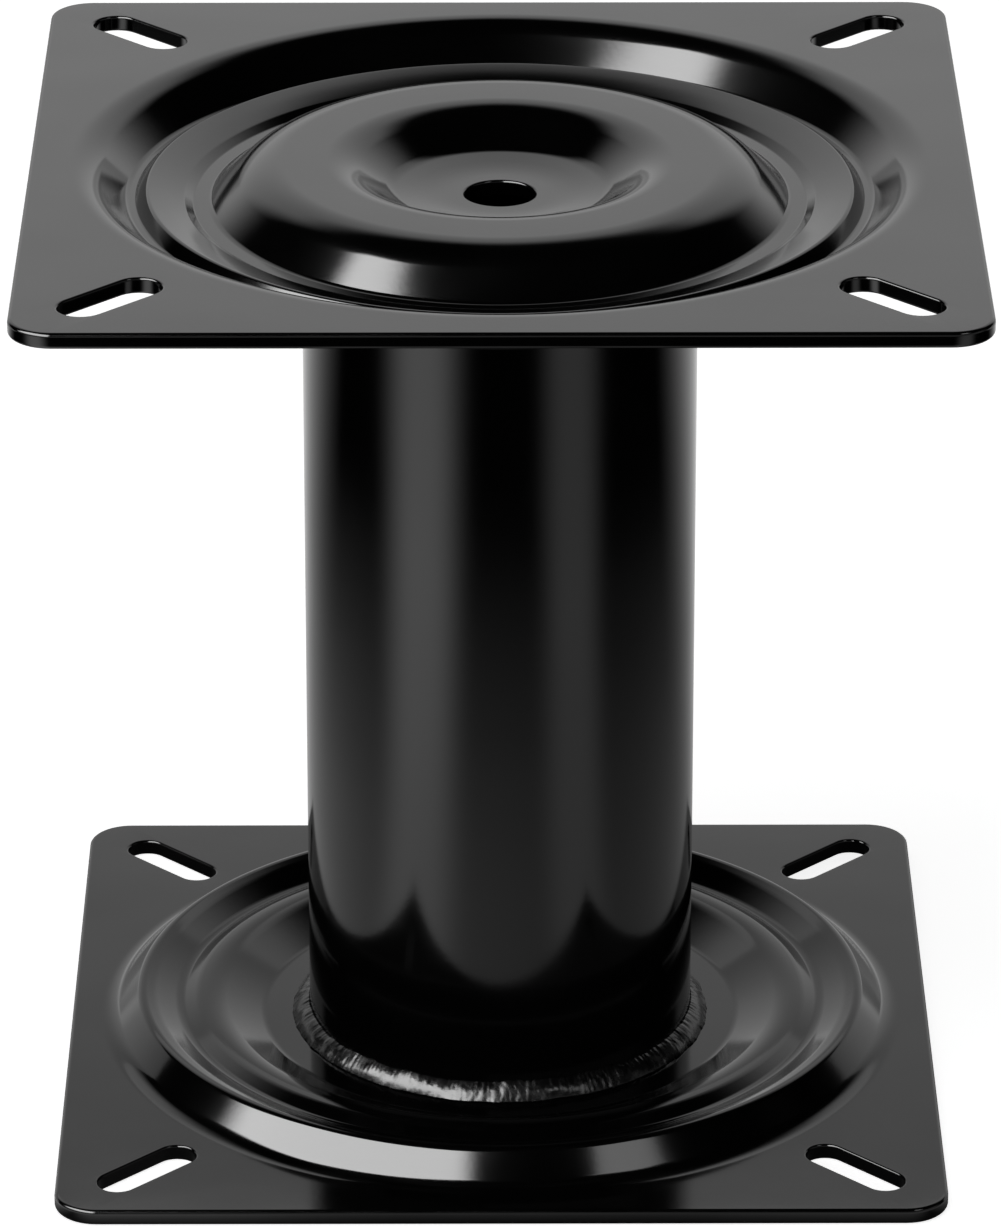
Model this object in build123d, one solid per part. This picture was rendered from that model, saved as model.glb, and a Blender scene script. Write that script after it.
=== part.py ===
from build123d import *
from math import atan2, cos, pi, radians, sin, tan
import os

# Boat seat pedestal. Two square steel plates, each pressed with a round dish, are welded to the ends
# of a short tube. The seat bolts through the slots of the upper plate, the deck through the lower.
# Millimetres, +Z up, origin on the tube's axis at the underside of the base plate.

overall_height = 177.0
sheet = 3.0

# Column tube
tube_diameter = 73.0
tube_wall = 2.0

# Fillet weld round each end of the tube
weld_leg = 3.2
weld_height = 3.0
weld_bulge = 0.4

# Square blanks. A border is what lies between the corner of the dish's rim and the blank's edge
seat_border = 10.8
base_border = 7.7
blank_corner = 8.0
blank_edge = 0.8

# Bolt slots at the blank's corners, pointing at the axis. An inset is from two edges to the centre
slot_length = 22.0
seat_slot_width = 8.5
base_slot_width = 7.3
seat_slot_inset = 17.5
base_slot_inset = 16.7
slot_edge = 0.5

# Each pressing is a walk of runs along the radius of the plate's upper face. A roll is how far a bend
# starts before its corner.

# Dimple inside the tube, a wall and a shallow bowl with the plate's centre hole in it. It goes down in
# the seat plate and up in the base plate
dimple_inside_bore = 2.5
dimple_roll_in = 3.4
dimple_wall_run = 8.7
dimple_wall_depth = 5.7
dimple_wall_roll = 1.2
bowl_run = 7.4
bowl_depth = 6.8
bowl_roll = 3.0
hole_diameter = 13.0
hole_edge = 0.5

# Seat plate, with depths below its flat. The crest is the ring under which the tube is welded
crest_outside_weld = 0.15
crest_roll = 4.6

# Groove outside the crest
groove_depth = 7.7
groove_wall_run = 8.55
groove_width = 3.2
groove_roll_in = 0.58
groove_roll_out = 0.2

# Ring between the groove and the moat: crowned, and lower towards the axis
ring_inner_depth = 6.6
ring_outer_depth = 4.8
ring_inner_run = 1.7
ring_outer_run = 2.1
ring_width = 6.8
ring_crown = 0.4
ring_crown_roll = 2.6
ring_inner_lip = 0.2
ring_outer_lip = 0.45

# Moat, the narrow floor at the foot of the dish's outer wall, and the rim above that wall
moat_depth = 7.0
moat_width = 1.6
moat_roll_in = 0.25
moat_roll_out = 0.6
dish_wall_run = 6.8
rim_roll = 3.2

# Base plate, with heights above its flat. The tube and its weld stand on a low ring inside the ridge
footing_outside_weld = 5.6
footing_roll = 0.7
ridge_inner_run = 9.5
ridge_inner_height = 4.7
ridge_inner_roll = 2.7
ridge_width = 3.2
ridge_outer_height = 4.1
ridge_outer_roll = 0.5

# Valley between the ridge and the bead
valley_inner_run = 2.6
valley_inner_height = 2.9
valley_inner_roll = 0.4
valley_width = 1.2
valley_outer_height = 3.0
valley_outer_roll = 0.6

# Bead, the highest ring, and the wall from it down to the flat
bead_inner_run = 4.3
bead_inner_height = 5.35
bead_inner_roll = 0.55
bead_width = 2.6
bead_height = 6.2
bead_roll = 1.15
bead_wall_run = 5.6
foot_roll = 2.2

# Flat between the pressing's outermost bend and the blank that it is cut into
flat_past_pressing = 0.5

# Tightest roll that the tool leaves on the inside of a bend
coined_roll = 0.25

tube_radius = tube_diameter / 2
weld_toe = tube_radius + weld_leg


def dimple(way):
    """Corners of the dimple on the plate's upper face, which goes up (way 1) or down (way -1)."""
    rim = tube_radius - tube_wall - dimple_inside_bore - dimple_roll_in
    wall_turn = atan2(dimple_wall_depth, dimple_wall_run)
    bowl_turn = atan2(bowl_depth - dimple_wall_depth, bowl_run)
    thickness = sheet if way > 0 else 0
    return [
        (rim, 0, dimple_roll_in - thickness * tan(wall_turn / 2)),
        (
            rim - dimple_wall_run,
            way * dimple_wall_depth,
            dimple_wall_roll + thickness * tan((wall_turn - bowl_turn) / 2),
        ),
        (rim - dimple_wall_run - bowl_run, way * bowl_depth, bowl_roll + thickness * tan(bowl_turn / 2)),
    ]


def seat_corners():
    """Corners of the seat plate's upper face, rim to dimple floor, as (radius, height, roll)."""
    crest_outer = weld_toe + crest_outside_weld + crest_roll
    groove_inner = crest_outer + groove_wall_run
    groove_outer = groove_inner + groove_width
    ring_inner = groove_outer + ring_inner_run
    ring_outer = ring_inner + ring_width
    ring_middle_depth = (ring_inner_depth + ring_outer_depth) / 2 - ring_crown
    moat_inner = ring_outer + ring_outer_run
    moat_outer = moat_inner + moat_width
    return [
        (moat_outer + dish_wall_run, 0, rim_roll),
        (moat_outer, -moat_depth, moat_roll_out),
        (moat_inner, -moat_depth, moat_roll_in),
        (ring_outer, -ring_outer_depth, ring_outer_lip),
        ((ring_inner + ring_outer) / 2, -ring_middle_depth, ring_crown_roll),
        (ring_inner, -ring_inner_depth, ring_inner_lip),
        (groove_outer, -groove_depth, groove_roll_out),
        (groove_inner, -groove_depth, groove_roll_in),
        (crest_outer, 0, crest_roll),
        *dimple(-1),
    ]


def base_corners():
    """Corners of the base plate's upper face, foot of the bead to dimple top, as the seat's."""
    footing = weld_toe + footing_outside_weld
    ridge_inner = footing + ridge_inner_run
    ridge_outer = ridge_inner + ridge_width
    valley_inner = ridge_outer + valley_inner_run
    valley_outer = valley_inner + valley_width
    bead_inner = valley_outer + bead_inner_run
    bead = bead_inner + bead_width
    return [
        (bead + bead_wall_run, 0, foot_roll),
        (bead, bead_height, bead_roll),
        (bead_inner, bead_inner_height, bead_inner_roll),
        (valley_outer, valley_outer_height, valley_outer_roll),
        (valley_inner, valley_inner_height, valley_inner_roll),
        (ridge_outer, ridge_outer_height, ridge_outer_roll),
        (ridge_inner, ridge_inner_height, ridge_inner_roll),
        (footing, 0, footing_roll),
        *dimple(1),
    ]


def bent_outline(points, rolls):
    """Closed outline with a bend at each point, cut back where the walls beside it are too short."""
    radii = []
    for index, roll in enumerate(rolls):
        after = (index + 1) % len(points)
        into = points[index] - points[index - 1]
        out = points[after] - points[index]
        if roll:
            reach_before = (roll + rolls[index - 1]) / into.length
            reach_after = (roll + rolls[after]) / out.length
            roll = roll / max(1, 1.02 * reach_before, 1.02 * reach_after)
        radii.append(roll / tan(radians(into.get_angle(out)) / 2))
    return FilletPolyline(*points, radius=radii, close=True)


def pressing(corners, join_radius):
    """Round pressing out to join_radius, with the flat of its upper face at height 0."""
    floor = corners[-1][1]
    hole_radius = hole_diameter / 2
    face = [Vector(join_radius, 0), *[Vector(radius, height) for radius, height, roll in corners]]
    face.append(Vector(hole_radius, floor))
    back = [Vector(join_radius, -sheet)]
    back_rolls = []
    for before, here, after, corner in zip(face, face[1:], face[2:], corners):
        heading = atan2(here.Y - before.Y, here.X - before.X)
        turn = (atan2(after.Y - here.Y, after.X - here.X) - heading + pi) % (2 * pi) - pi
        mitre = sheet * tan(turn / 2)
        square = Vector(-sin(heading), cos(heading)) * sheet
        back.append(here + square - Vector(cos(heading), sin(heading)) * mitre)
        back_rolls.append(max(corner[2] - mitre, coined_roll))
    back.append(Vector(hole_radius, floor - sheet))
    points = [*face, *reversed(back)]
    rolls = [0, *[roll for radius, height, roll in corners], hole_edge, hole_edge, *reversed(back_rolls), 0]
    return revolve(Plane.XZ * make_face(bent_outline(points, rolls)), Axis.Z)


def blank(side, slot_width, slot_inset):
    """Square sheet with its slots, upper face at height 0."""
    reach = side / 2 - slot_inset
    outline = RectangleRounded(side, side, blank_corner)
    for x in (-reach, reach):
        for y in (-reach, reach):
            outline -= Pos(x, y) * Rot(0, 0, 45 if x * y > 0 else -45) * SlotOverall(slot_length, slot_width)
    square = extrude(outline, -sheet)
    for level in (0, -1):
        rim = square.faces().sort_by(Axis.Z)[level].outer_wire()
        square = fillet(rim.edges(), blank_edge)
        slots = square.faces().sort_by(Axis.Z)[level].inner_wires()
        square = fillet([edge for slot in slots for edge in slot.edges()], slot_edge)
    return square


def plate(corners, border, slot_width, slot_inset):
    """Pressed plate, with the flat of its upper face at height 0."""
    rim_radius, _, outermost_roll = corners[0]
    join_radius = rim_radius + outermost_roll + flat_past_pressing
    square = blank(2 * (rim_radius + border), slot_width, slot_inset)
    return square - extrude(Circle(join_radius), -sheet) + pressing(corners, join_radius)


def weld():
    """Fillet weld in the corner between the tube and the sheet below it, its seat at height 0."""
    toe = (weld_toe, 0)
    top = (tube_radius, weld_height)
    root = (tube_radius, 0)
    slope = Line(toe, top)
    crown = slope @ 0.5 + Vector(weld_height, weld_leg).normalized() * weld_bulge
    section = make_face([ThreePointArc(toe, crown, top), Line(top, root), Line(root, toe)])
    return revolve(Plane.XZ * section, Axis.Z)


seat_plate = plate(seat_corners(), seat_border, seat_slot_width, seat_slot_inset)
seat_plate = Pos(0, 0, overall_height) * seat_plate
base_plate = Pos(0, 0, sheet) * plate(base_corners(), base_border, base_slot_width, base_slot_inset)
tube_ring = Circle(tube_radius) - Circle(tube_radius - tube_wall)
column_tube = Pos(0, 0, sheet) * extrude(tube_ring, overall_height - 2 * sheet)
base_weld = Pos(0, 0, sheet) * weld()
seat_weld = Pos(0, 0, overall_height - sheet) * mirror(weld(), Plane.XY)

os.makedirs("parts", exist_ok=True)
nodes = {
    "seat_plate": seat_plate,
    "column_tube": column_tube,
    "base_plate": base_plate,
    "seat_weld": seat_weld,
    "base_weld": base_weld,
}
for name, solid in nodes.items():
    export_step(solid, f"parts/{name}.step")
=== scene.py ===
import math

import bmesh
import bpy
from mathutils import Matrix, Vector, noise


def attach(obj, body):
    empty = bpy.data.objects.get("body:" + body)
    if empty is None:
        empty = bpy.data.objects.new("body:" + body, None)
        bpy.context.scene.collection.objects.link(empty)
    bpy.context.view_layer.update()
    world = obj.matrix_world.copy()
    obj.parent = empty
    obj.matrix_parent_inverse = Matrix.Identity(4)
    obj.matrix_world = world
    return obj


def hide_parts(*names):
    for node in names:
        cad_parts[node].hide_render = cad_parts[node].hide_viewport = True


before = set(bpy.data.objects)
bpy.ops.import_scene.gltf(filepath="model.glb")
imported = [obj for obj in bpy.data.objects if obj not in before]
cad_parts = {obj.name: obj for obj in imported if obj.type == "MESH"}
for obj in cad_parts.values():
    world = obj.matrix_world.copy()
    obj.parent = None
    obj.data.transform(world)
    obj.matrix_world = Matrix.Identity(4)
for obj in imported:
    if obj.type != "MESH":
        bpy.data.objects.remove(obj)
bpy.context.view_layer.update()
scene = bpy.context.scene


# Seat plate. A square of 3 mm steel sheet with a dish, a crowned ring and a dimple pressed down into
# it, and a slot at each corner for the seat's bolts. The die leaves soft bends on the upper face, the
# sheet keeps its thickness, and a gloss black coating covers it all. Metres, upper flat at height 0.
sheet = 0.003
coined_roll = 0.00025
flat_past_pressing = 0.0005
blank_corner = 0.008
blank_edge = 0.0008
slot_length = 0.022
slot_edge = 0.0005
hole_radius = 0.0065
hole_edge = 0.0005

seat_top = 0.177
seat_border = 0.0108
seat_slot_inset = 0.0175
seat_slot_width = 0.0085

# Each bend of the pressing as its radius, its height and its roll, which is how far the bend starts
# before its corner.
seat_pressing = [
    (0.0752, 0, 0.0032),  # rim of the dish
    (0.0684, -0.0070, 0.0006),  # foot of the dish's wall
    (0.0668, -0.0070, 0.00025),  # inner side of the moat
    (0.0647, -0.0048, 0.00045),  # outer lip of the ring
    (0.0613, -0.0055, 0.0026),  # crown of the ring
    (0.0579, -0.0066, 0.0002),  # inner lip of the ring
    (0.0562, -0.0077, 0.0002),  # outer side of the groove
    (0.0530, -0.0077, 0.00058),  # inner side of the groove
    (0.04445, 0, 0.0046),  # edge of the crest
    (0.0286, 0, 0.0034),  # rim of the dimple
    (0.0199, -0.0057, 0.0012),  # foot of the dimple's wall
    (0.0125, -0.0068, 0.0030),  # floor of the bowl
]

turn_steps = 256
corner_steps = 12
slot_end_steps = 16
edge_steps = 5
slot_edge_steps = 4
square_edge = math.radians(60)
degrees_a_step = 5
roll_clearance = 1.02


def back_of(face):
    """Corners of the sheet's other face, with their rolls, for the corners of the pressed face."""
    back = []
    for (r_before, h_before, _), (r, h, roll), (r_after, h_after, _) in zip(face, face[1:], face[2:]):
        heading = math.atan2(h - h_before, r - r_before)
        turn = (math.atan2(h_after - h, r_after - r) - heading + math.pi) % math.tau - math.pi
        mitre = sheet * math.tan(turn / 2)
        back_r = r - sheet * math.sin(heading) - mitre * math.cos(heading)
        back_h = h + sheet * math.cos(heading) - mitre * math.sin(heading)
        back.append((back_r, back_h, max(roll - mitre, coined_roll)))
    return back


def both_faces(pressing, join):
    """Corners of a pressing's section, from the upper flat in to the hole and out again underneath."""
    floor_height = pressing[-1][1]
    upper = [(join, 0, 0), *pressing, (hole_radius, floor_height, hole_edge)]
    lower = [(hole_radius, floor_height - sheet, hole_edge), *reversed(back_of(upper)), (join, -sheet, 0)]
    return upper + lower


def bend(mesh, corners):
    """A wire through the corners, each bent to an arc that starts its roll before the corner. A roll
    is cut back where the walls beside it are too short for it."""
    tip = bmesh.ops.create_vert(mesh, co=(corners[0][0], 0, corners[0][1]))["vert"][0]
    for before, here, after in zip(corners, corners[1:], corners[2:]):
        corner = Vector((here[0], 0, here[1]))
        into = corner - Vector((before[0], 0, before[1]))
        out = Vector((after[0], 0, after[1])) - corner
        reach_before = roll_clearance * (here[2] + before[2]) / into.length
        reach_after = roll_clearance * (here[2] + after[2]) / out.length
        roll = here[2] / max(1, reach_before, reach_after)
        turn = into.angle(out)
        spindle = into.cross(out).normalized()
        radius = roll / math.tan(turn / 2)
        start = corner - into.normalized() * roll
        centre = start + spindle.cross(into).normalized() * radius
        tip = bmesh.ops.extrude_vert_indiv(mesh, verts=[tip])["verts"][0]
        tip.co = start
        steps = max(3, math.ceil(math.degrees(turn) / degrees_a_step))
        arc = bmesh.ops.spin(mesh, geom=[tip], cent=centre, axis=spindle, angle=turn, steps=steps)
        tip = arc["geom_last"][0]
    end = bmesh.ops.extrude_vert_indiv(mesh, verts=[tip])["verts"][0]
    end.co = (corners[-1][0], 0, corners[-1][1])


def turned(mesh, around=turn_steps):
    """Turns a wire once round the axis, as a quarter turn that is mirrored twice."""
    bmesh.ops.spin(mesh, geom=mesh.verts[:] + mesh.edges[:], cent=(0, 0, 0), axis=(0, 0, 1),
                   angle=math.pi / 2, steps=around // 4)
    for axis in ("X", "Y"):
        everything = mesh.verts[:] + mesh.edges[:] + mesh.faces[:]
        bmesh.ops.mirror(mesh, geom=everything, axis=axis, merge_dist=1e-6)


def slot_outline(mesh, x, y, width):
    """A wire round a slot whose long way points at the axis."""
    across = Vector((-y, x, 0)).normalized() * width / 2
    along = Vector((x, y, 0)).normalized() * (slot_length - width) / 2
    ends = []
    for side in (1, -1):
        hub = Vector((x, y, 0)) + along * side
        start = bmesh.ops.create_vert(mesh, co=hub - across * side)["vert"][0]
        arc = bmesh.ops.spin(mesh, geom=[start], cent=hub, axis=(0, 0, 1), angle=math.pi,
                             steps=slot_end_steps)
        ends.append((start, arc["geom_last"][0]))
    mesh.edges.new((ends[0][1], ends[1][0]))
    mesh.edges.new((ends[1][1], ends[0][0]))


def sheared_edges(mesh):
    """The edges that the shears and the punch leave, which aren't rounded yet."""
    return [edge for edge in mesh.edges if len(edge.link_faces) == 2 and edge.calc_face_angle() > square_edge]


def pressed_plate(pressing, border, slot_inset, slot_width):
    """A square plate with its slots and its pressing, upper flat at height 0, as one closed shell."""
    rim, _, rim_roll = pressing[0]
    join = rim + rim_roll + flat_past_pressing
    half = rim + border
    slot_at = half - slot_inset

    plate = bmesh.new()
    square = bmesh.ops.create_circle(plate, segments=4, radius=half * math.sqrt(2), cap_ends=False)["verts"]
    bmesh.ops.rotate(plate, verts=square, cent=(0, 0, 0), matrix=Matrix.Rotation(math.pi / 4, 3, "Z"))
    bmesh.ops.bevel(plate, geom=square, offset=blank_corner, segments=corner_steps, profile=0.5,
                    affect="VERTICES", material=-1)
    bmesh.ops.create_circle(plate, segments=turn_steps, radius=join, cap_ends=False)
    for x in (-slot_at, slot_at):
        for y in (-slot_at, slot_at):
            slot_outline(plate, x, y, slot_width)
    flat = bmesh.ops.triangle_fill(plate, use_beauty=True, use_dissolve=False, edges=plate.edges[:],
                                   normal=(0, 0, 1))
    flat_faces = [item for item in flat["geom"] if isinstance(item, bmesh.types.BMFace)]
    under = bmesh.ops.extrude_face_region(plate, geom=flat_faces, use_keep_orig=True)
    under_verts = [item for item in under["geom"] if isinstance(item, bmesh.types.BMVert)]
    bmesh.ops.translate(plate, verts=under_verts, vec=(0, 0, -sheet))
    disc = [face for face in plate.faces if all(vert.co.xy.length < join + 1e-6 for vert in face.verts)]
    bmesh.ops.delete(plate, geom=disc, context="FACES")

    def past_slots(vert):
        from_slot = Vector((abs(vert.co.x) - slot_at, abs(vert.co.y) - slot_at))
        return from_slot.length > slot_length / 2 + blank_edge

    outline = [edge for edge in sheared_edges(plate) if past_slots(edge.verts[0])]
    bmesh.ops.bevel(plate, geom=outline, offset=blank_edge, segments=edge_steps, profile=0.5,
                    affect="EDGES", material=-1)
    bmesh.ops.bevel(plate, geom=sheared_edges(plate), offset=slot_edge, segments=slot_edge_steps,
                    profile=0.5, affect="EDGES", material=-1)

    rings = bmesh.new()
    bend(rings, both_faces(pressing, join))
    turned(rings)
    pressed = bpy.data.meshes.new("pressed")
    rings.to_mesh(pressed)
    rings.free()
    plate.from_mesh(pressed)
    bpy.data.meshes.remove(pressed)
    bmesh.ops.remove_doubles(plate, verts=plate.verts, dist=1e-5)
    return plate


class Finish:
    """A value that varies over a surface. Sums and products of such values add their own nodes."""

    def __init__(self, tree, socket=None):
        self.tree = tree
        self.socket = socket

    def node(self, kind, settings, sockets, output=0):
        """Adds a node with its settings and the values or links of its sockets."""
        made = self.tree.nodes.new(kind)
        for name, value in settings.items():
            setattr(made, name, value)
        for name, value in sockets.items():
            if isinstance(value, Finish):
                self.tree.links.new(value.socket, made.inputs[name])
            else:
                made.inputs[name].default_value = value
        return Finish(self.tree, made.outputs[output])

    def other(self, output):
        """Another output of the same node."""
        return Finish(self.tree, self.socket.node.outputs[output])

    def to_surface(self, kind="ShaderNodeOutputMaterial"):
        """Ends the nodes, with this shader as the surface."""
        end = self.tree.nodes.new(kind)
        self.tree.links.new(self.socket, end.inputs["Surface"])

    def maths(self, operation, first, second=0.0):
        return self.node("ShaderNodeMath", {"operation": operation}, {0: first, 1: second})

    def between(self, start, end, low, high, step="SMOOTHSTEP"):
        """Low where this value is at start, high where it is at end, and a ramp in between."""
        sockets = {"Value": self, "From Min": start, "From Max": end, "To Min": low, "To Max": high}
        return self.node("ShaderNodeMapRange", {"interpolation_type": step}, sockets)

    def __add__(self, other):
        return self.maths("ADD", self, other)

    def __sub__(self, other):
        return self.maths("SUBTRACT", self, other)

    def __rsub__(self, other):
        return self.maths("SUBTRACT", other, self)

    def __mul__(self, other):
        return self.maths("MULTIPLY", self, other)

    def __truediv__(self, other):
        return self.maths("DIVIDE", self, other)

    def __rtruediv__(self, other):
        return self.maths("DIVIDE", other, self)

    __radd__ = __add__
    __rmul__ = __mul__


def black_coating(name, black, haze, dullness, relief):
    """A gloss black coating, whose dullness goes between two values as the noise called haze does.
    Relief is a list of noises with their heights. A noise is its scale, detail and roughness."""
    made = bpy.data.materials.new(name)
    made.use_nodes = True
    skin = Finish(made.node_tree)
    lacquer = made.node_tree.nodes["Principled BSDF"]
    lacquer.inputs["Base Color"].default_value = (black, black, black, 1)
    lacquer.inputs["IOR"].default_value = 1.5
    place = skin.node("ShaderNodeTexCoord", {}, {}, output="Object")

    def noise_of(scale, detail, roughness):
        sockets = {"Vector": place, "Scale": scale, "Detail": detail, "Roughness": roughness}
        return skin.node("ShaderNodeTexNoise", {}, sockets)

    dull = noise_of(*haze).between(0.3, 0.7, *dullness, step="LINEAR")
    height = sum(noise_of(*texture) * deep for texture, deep in relief)
    bumps = skin.node("ShaderNodeBump", {}, {"Strength": 1.0, "Distance": 1.0, "Height": height})
    skin.tree.links.new(dull.socket, lacquer.inputs["Roughness"])
    skin.tree.links.new(bumps.socket, lacquer.inputs["Normal"])
    return made


def show(name, mesh, height, coat, cad_node):
    """Makes a coated piece of a mesh at its height, in the place of a solid."""
    bmesh.ops.recalc_face_normals(mesh, faces=mesh.faces)
    bmesh.ops.translate(mesh, verts=mesh.verts, vec=(0, 0, height))
    for face in mesh.faces:
        face.smooth = True
    made = bpy.data.meshes.new(name)
    mesh.to_mesh(made)
    mesh.free()
    made.materials.append(coat)
    piece = bpy.data.objects.new(name, made)
    scene.collection.objects.link(piece)
    even_gloss = piece.modifiers.new("even_gloss", "WEIGHTED_NORMAL")
    even_gloss.mode = "FACE_AREA"
    even_gloss.weight = 50
    even_gloss.keep_sharp = False
    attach(piece, "root")
    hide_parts(cad_node)


sheet_waves = ((30.0, 1.0, 0.4), 0.00022)
coating_grain = ((900.0, 2.0, 0.5), 0.0000025)
coating = black_coating("gloss_black_coating", 0.002, (38.0, 3.0, 0.5), (0.075, 0.135),
                        [sheet_waves, coating_grain])
seat_plate = pressed_plate(seat_pressing, seat_border, seat_slot_inset, seat_slot_width)
show("seat_plate_pressed", seat_plate, seat_top, coating, "seat_plate")


# Column tube. Drawn steel tube, 73 mm across with a 2 mm wall, cut square and stood between the two
# plates, which it meets face to face. It has the same coating.
tube_radius = 0.0365
tube_wall = 0.002
tube_bore = tube_radius - tube_wall
tube_top = seat_top - sheet
tube = bmesh.new()
tube_section = [(tube_radius, sheet), (tube_radius, tube_top), (tube_bore, tube_top), (tube_bore, sheet)]
tube_corners = [tube.verts.new((radius, 0, height)) for radius, height in tube_section]
for corner, following in zip(tube_corners, tube_corners[1:] + tube_corners[:1]):
    tube.edges.new((corner, following))
turned(tube)
show("column_tube_drawn", tube, 0, coating, "column_tube")


# Base plate. A smaller square of the same sheet, pressed upwards: a bead, a valley and a ridge round
# the low ring on which the column stands. Its narrower slots take the screws into the deck.
base_border = 0.0077
base_slot_inset = 0.0167
base_slot_width = 0.0073
base_pressing = [
    (0.0743, 0, 0.0022),  # foot of the bead
    (0.0687, 0.0062, 0.00115),  # top of the bead, outer side
    (0.0661, 0.00535, 0.00055),  # top of the bead, inner side
    (0.0618, 0.0030, 0.0006),  # outer side of the valley
    (0.0606, 0.0029, 0.0004),  # inner side of the valley
    (0.0580, 0.0041, 0.0005),  # top of the ridge, outer side
    (0.0548, 0.0047, 0.0027),  # top of the ridge, inner side
    (0.0453, 0, 0.0007),  # edge of the column's footing
    (0.0286, 0, 0.0025),  # foot of the dimple
    (0.0199, 0.0057, 0.0019),  # top of the dimple's wall
    (0.0125, 0.0068, 0.0032),  # top of the dimple
]
base_plate = pressed_plate(base_pressing, base_border, base_slot_inset, base_slot_width)
show("base_plate_pressed", base_plate, sheet, coating, "base_plate")


# Weld beads. A fillet of weld metal runs round each end of the tube, laid by hand: every pool froze as
# a small crescent over the one before, and its edges wander a little. The coating lies rougher on it.
weld_leg = 0.0032
weld_height = 0.0030
weld_bulge = 0.0004
weld_root = 0.0003
ripples = 124
ripple_depth = 0.000036
crescent_bow = 1.1
crescent_tip = 0.45
swell = 0.00016
edge_wander = 0.0003
toe_jag = 0.00015
top_jag = 0.0002
bead_across = 14
bead_around = 992
lapped_pits = ((1500.0, 2.0, 0.5), 0.00003)
weld_coating = black_coating("black_coating_on_weld", 0.004, (420.0, 3.0, 0.6), (0.15, 0.34), [lapped_pits])


def uneven(turn, rate, row):
    """An unevenness round the bead, from -1 to 1, which closes on itself. Rows don't repeat."""
    return noise.noise(Vector((math.cos(turn) * rate, math.sin(turn) * rate, row)))


def weld_bead(name, height, way, row, cad_node):
    """A rippled bead on the plate at a height, which stands up (way 1) or hangs down (way -1). Its own
    row of the unevenness makes it unlike the other."""
    mesh = bmesh.new()
    toe = Vector((tube_radius + weld_leg, 0, 0))
    top = Vector((tube_radius, 0, weld_height))
    outward = Vector((weld_height, 0, weld_leg)).normalized()
    root = bmesh.ops.create_vert(mesh, co=(tube_radius - weld_root, 0, -weld_root))["vert"][0]
    tip = root
    for step in range(bead_across + 1):
        share = step / bead_across
        tip = bmesh.ops.extrude_vert_indiv(mesh, verts=[tip])["verts"][0]
        tip.co = toe.lerp(top, share) + outward * weld_bulge * 4 * share * (1 - share)
    mesh.edges.new((tip, root))
    turned(mesh, bead_around)
    for vert in mesh.verts:
        if vert.co.z < -weld_root / 2:
            continue
        turn = math.atan2(vert.co.y, vert.co.x)
        share = min(max(vert.co.z / weld_height, 0), 1)
        # A ripple rises steeply and falls away slowly. It is fainter in places, and towards its ends.
        crescent = crescent_bow * (2 * (share - crescent_tip)) ** 2
        phase = (turn * ripples / math.tau + crescent + 0.9 * uneven(turn, 9, row)) % 1
        lift = ripple_depth * (math.sqrt(phase) * (1 - phase) * 2.6 - 0.75)
        lift *= (0.75 + 0.9 * uneven(turn, 6, row + 7)) * (0.35 + 2.6 * share * (1 - share))
        lift += swell * uneven(turn, 11, row + 11 + 1.5 * share)
        toe_drift = edge_wander * uneven(turn, 9, row + 17) + toe_jag * uneven(turn, 60, row + 31)
        top_drift = edge_wander * uneven(turn, 9, row + 23) + top_jag * uneven(turn, 70, row + 37)
        spread = (1 - share) ** 2 * toe_drift
        climb = share ** 2 * top_drift
        from_axis = Vector((vert.co.x, vert.co.y, 0)).normalized()
        vert.co += (from_axis * weld_height + Vector((0, 0, weld_leg))).normalized() * lift
        vert.co += from_axis * spread + Vector((0, 0, climb))
    bmesh.ops.scale(mesh, verts=mesh.verts, vec=(1, 1, way))
    show(name, mesh, height, weld_coating, cad_node)


weld_bead("base_weld_bead", sheet, 1, 3.5, "base_weld")
weld_bead("seat_weld_bead", tube_top, -1, 8.5, "seat_weld")


# Camera. It stands a long way off with a long lens and looks down on the pedestal, as in the
# photograph, so that the two plates stay nearly the same size.
camera = bpy.data.objects.new("camera", bpy.data.cameras.new("camera"))
scene.collection.objects.link(camera)
camera.data.sensor_fit = "AUTO"
camera.data.sensor_width = 36
camera.data.lens = 226.9
camera.data.clip_start = 0.05
camera.data.clip_end = 20
camera.location = (-0.00456, -1.33238, 0.67806)
camera.rotation_euler = (math.radians(66.017), 0, math.radians(-0.2))
scene.camera = camera
scene.view_settings.view_transform = "Standard"


# Backdrop. White to the camera. What the gloss sees of it glows behind the pedestal up to about 45
# degrees, faintly and lower in front, and leaves the ceiling and the sides dark.
world = bpy.data.worlds.new("studio")
world.use_nodes = True
world.node_tree.nodes.clear()
scene.world = world
air = Finish(world.node_tree)
white = (1, 1, 1, 1)
way = air.node("ShaderNodeSeparateXYZ", {}, {"Vector": air.node("ShaderNodeTexCoord", {}, {})})
rearward, rise = way.other("Y"), way.other("Z")
facing = rearward / air.maths("SQRT", rearward * rearward + way * way)
glow_behind = rise.between(start=0.80, end=0.62, low=0.0, high=0.95)
glow_ahead = rise.between(start=0.60, end=0.35, low=0.0, high=0.34)
behind = facing.between(start=0.64, end=0.87, low=0.0, high=1.0)
ahead = facing.between(start=0.3, end=-0.3, low=0.0, high=1.0)
glow = glow_behind * behind + glow_ahead * ahead
seen = air.node("ShaderNodeLightPath", {}, {}, output="Is Camera Ray")
brightness = air.maths("MAXIMUM", glow, seen)
sky = air.node("ShaderNodeBackground", {}, {"Color": white, "Strength": brightness})
sky.to_surface("ShaderNodeOutputWorld")


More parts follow.
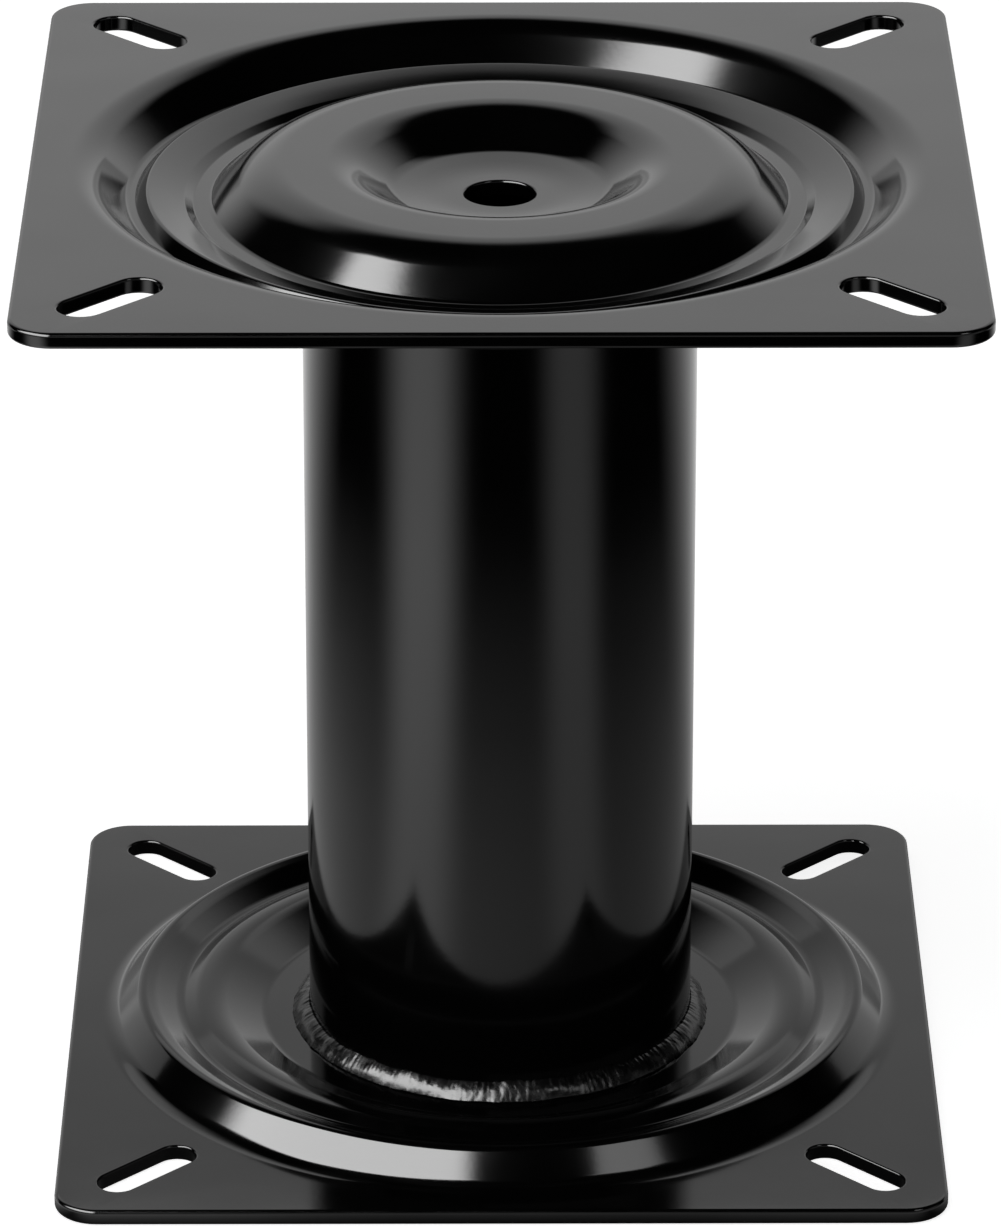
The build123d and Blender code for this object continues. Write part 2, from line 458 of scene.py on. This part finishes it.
# Floor. White paper that keeps the pedestal's shadow. What the gloss sees of it is painted light: painted
# pools of light, as from two lamps in front and more from the left, painted light as from the backdrop
# behind, and painted shade under the base plate.
floor_half = 6
paper_lift = 0.86
floor_mesh = bmesh.new()
bmesh.ops.create_grid(floor_mesh, x_segments=1, y_segments=1, size=floor_half)
floor_data = bpy.data.meshes.new("floor")
floor_mesh.to_mesh(floor_data)
floor = bpy.data.objects.new("floor", floor_data)
scene.collection.objects.link(floor)


def bare_material(data, name):
    """An empty material for a studio piece, to be filled with nodes."""
    made = bpy.data.materials.new(name)
    made.use_nodes = True
    made.node_tree.nodes.clear()
    data.materials.append(made)
    return Finish(made.node_tree)


page = bare_material(floor_data, "white_paper")
spot = page.node("ShaderNodeTexCoord", {}, {}, output="Object")
across = page.node("ShaderNodeSeparateXYZ", {}, {"Vector": spot})
away = across.other("Y")
distance = page.node("ShaderNodeVectorMath", {"operation": "LENGTH"}, {0: spot}, output="Value")
bearing = page.maths("ARCTAN2", across, away * -1.0)


def painted_light_pool(centre, spread, strongest):
    """A painted pool of light, as a lamp would leave one about a bearing, in degrees from the camera's side.
    """
    offset = page.maths("ABSOLUTE", (bearing - math.radians(centre)) / math.radians(spread))
    fall = page.maths("EXPONENT", page.maths("POWER", offset, 3.0) * -1.0)
    return fall * distance.between(start=0.09, end=0.32, low=0.45, high=1.0) * strongest


# Painted light on the floor as the gloss sees it: brighter close to the pedestal, more on the left, and
# brighter behind it.
painted_light_near = distance.between(start=0.35, end=0.08, low=0.0, high=0.43)
more_on_left = across / distance * -0.35 + 1.0
painted_light_behind = away.between(start=0.05, end=0.36, low=0.0, high=0.95)
# Painted pools of light on the floor as the gloss sees it, one on the left and one on the right.
painted_left_pool = painted_light_pool(centre=-44, spread=19, strongest=1.5)
painted_right_pool = painted_light_pool(centre=40, spread=15.3, strongest=0.58)
# Painted shade: the floor's painted light drops to a twentieth under the base plate's square.
square = page.maths("MAXIMUM", page.maths("ABSOLUTE", across), page.maths("ABSOLUTE", away))
painted_shade_under_plate = square.between(start=0.081, end=0.090, low=0.05, high=1.0)
# All the floor's painted light and painted shade together, which only the gloss sees, as emission.
painted_floor_light = (painted_light_near * more_on_left + painted_light_behind + painted_left_pool + painted_right_pool) * painted_shade_under_plate
seen = page.node("ShaderNodeLightPath", {}, {}, output="Is Camera Ray")
mirrored = seen.other("Is Glossy Ray")
matt = page.node("ShaderNodeBsdfDiffuse", {}, {"Color": (0.8, 0.8, 0.8, 1)})
shine = page.node("ShaderNodeEmission", {}, {"Color": white, "Strength": seen * paper_lift})
paper_look = page.node("ShaderNodeAddShader", {}, {0: matt, 1: shine})
painted_floor_gloss = page.node("ShaderNodeEmission", {}, {"Color": white, "Strength": painted_floor_light})
page.node("ShaderNodeMixShader", {}, {0: mirrored, 1: paper_look, 2: painted_floor_gloss}).to_surface()


# Softboxes and flag. Two lit cloths in front give the gloss its highlights, a large one on the left and
# a small one on the right, and a low grey card behind takes the glare off the base plate.
full_share = 0.72


def card(name, bearing, distance, centre_height, width, height):
    """An upright card that only the gloss sees, facing the pedestal, with the camera's side as bearing
    0. Gives the place on it, across from its middle."""
    turn = math.radians(bearing)
    outward = Vector((math.sin(turn), -math.cos(turn), 0))
    mesh = bmesh.new()
    bmesh.ops.create_grid(mesh, x_segments=1, y_segments=1, size=0.5)
    bmesh.ops.scale(mesh, verts=mesh.verts, vec=(width, height, 1))
    data = bpy.data.meshes.new(name)
    mesh.to_mesh(data)
    made = bpy.data.objects.new(name, data)
    made.location = outward * distance + Vector((0, 0, centre_height))
    made.rotation_euler = (-outward).to_track_quat("-Z", "Y").to_euler()
    made.visible_camera = False
    made.visible_diffuse = False
    made.visible_shadow = False
    scene.collection.objects.link(made)
    cloth = bare_material(data, name)
    place = cloth.node("ShaderNodeTexCoord", {}, {}, output="Object")
    return cloth.node("ShaderNodeSeparateXYZ", {}, {"Vector": place})


def softbox(name, bearing, distance, centre_height, width, height, radiance):
    """A lit card that fades out near its edges, and that shows in the first reflection only."""
    along = card(name, bearing, distance, centre_height, width, height)
    for place, reach in ((along, width / 2), (along.other("Y"), height / 2)):
        edge = along.maths("ABSOLUTE", place).between(start=reach, end=reach * full_share, low=0.0, high=1.0)
        radiance = edge * radiance
    reflections = along.node("ShaderNodeLightPath", {}, {}, output="Glossy Depth")
    radiance = along.maths("LESS_THAN", reflections, 1.5) * radiance
    along.node("ShaderNodeEmission", {}, {"Color": white, "Strength": radiance}).to_surface()


softbox("softbox_left", bearing=-53, distance=1.0, centre_height=1.44, width=1.95, height=1.95, radiance=12.5)
softbox("softbox_right", bearing=46, distance=1.0, centre_height=1.25, width=0.42, height=0.6, radiance=3.0)
flag = card("grey_flag", bearing=180, distance=0.3, centre_height=0.12, width=1.6, height=0.19)
flag_rise = flag.other("Y")
flag_tone = flag_rise.between(start=-0.02, end=0.08, low=0.72, high=0.55, step="LINEAR")
flag.node("ShaderNodeEmission", {}, {"Color": white, "Strength": flag_tone}).to_surface()


# Studio lamp. One large soft lamp overhead on the left, plain and dim enough to keep the paper's tone.
lamp = bpy.data.objects.new("studio_lamp", bpy.data.lights.new("studio_lamp", "AREA"))
lamp.data.shape = "DISK"
lamp.data.size = 1.2
lamp.data.energy = 6
lamp.location = (-0.5, -0.4, 1.6)
lamp.rotation_euler = (Vector((0, 0, 0.1)) - lamp.location).to_track_quat("-Z", "Y").to_euler()
lamp.visible_glossy = False
scene.collection.objects.link(lamp)
